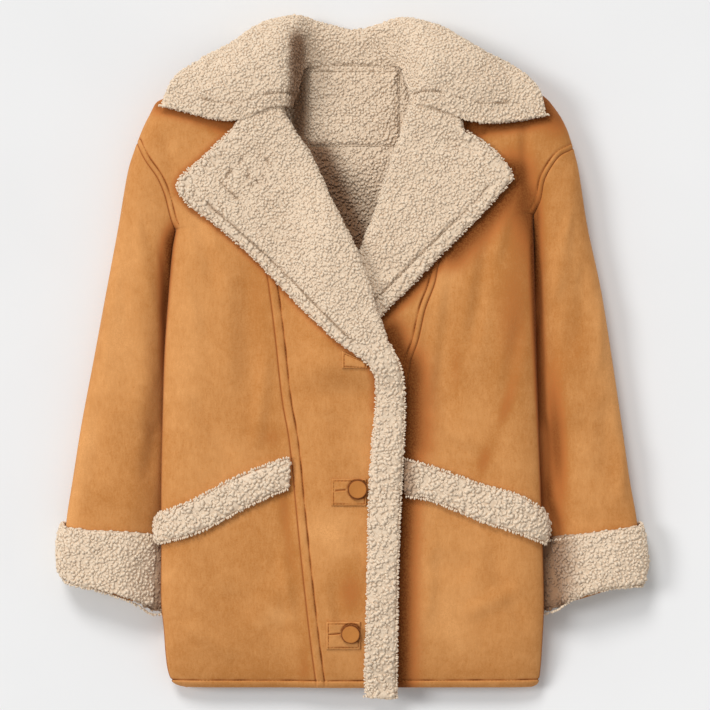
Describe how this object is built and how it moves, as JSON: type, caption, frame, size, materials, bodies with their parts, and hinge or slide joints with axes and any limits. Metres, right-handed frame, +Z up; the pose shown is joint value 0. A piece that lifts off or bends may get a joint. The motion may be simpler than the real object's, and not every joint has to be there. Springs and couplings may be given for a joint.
{
  "type": "shearling coat",
  "caption": "Hip-length shearling coat laid flat on its back, with wide pile lapels and collar, turned-up pile cuffs, slanted pile-edged pockets and covered buttons.",
  "frame": {"origin": "on the surface that the coat lies on, under the middle of the whole coat", "axes": "+X towards the wearer's left sleeve, +Y from the hem to the collar, +Z up out of the fronts"},
  "size_m": [0.6809, 0.7848, 0.0882],
  "materials": {
    "suede": "tan faux suede with a soft nap",
    "sherpa_pile": "cream curled sherpa pile",
    "lining_pile": "cream clipped sherpa pile of the inside",
    "covered_button": "button covered in tan faux suede"
  },
  "bodies": {
    "root": {"back": "suede", "side_front_right": "suede", "centre_front_right": "suede", "centre_front_left": "suede", "side_front_left": "suede", "sleeve_right": "suede", "sleeve_left": "suede", "cuff_right": "sherpa_pile", "cuff_left": "sherpa_pile", "collar": "sherpa_pile", "lapel_band_right": "sherpa_pile", "lapel_left": "sherpa_pile", "pocket_welt_right": "sherpa_pile", "pocket_welt_left": "sherpa_pile", "buttonhole_patch_top": "suede", "buttonhole_patch_middle": "suede", "buttonhole_patch_lower": "suede", "button_middle": "covered_button", "button_lower": "covered_button", "neck_patch": "lining_pile"}
  },
  "joints": []
}
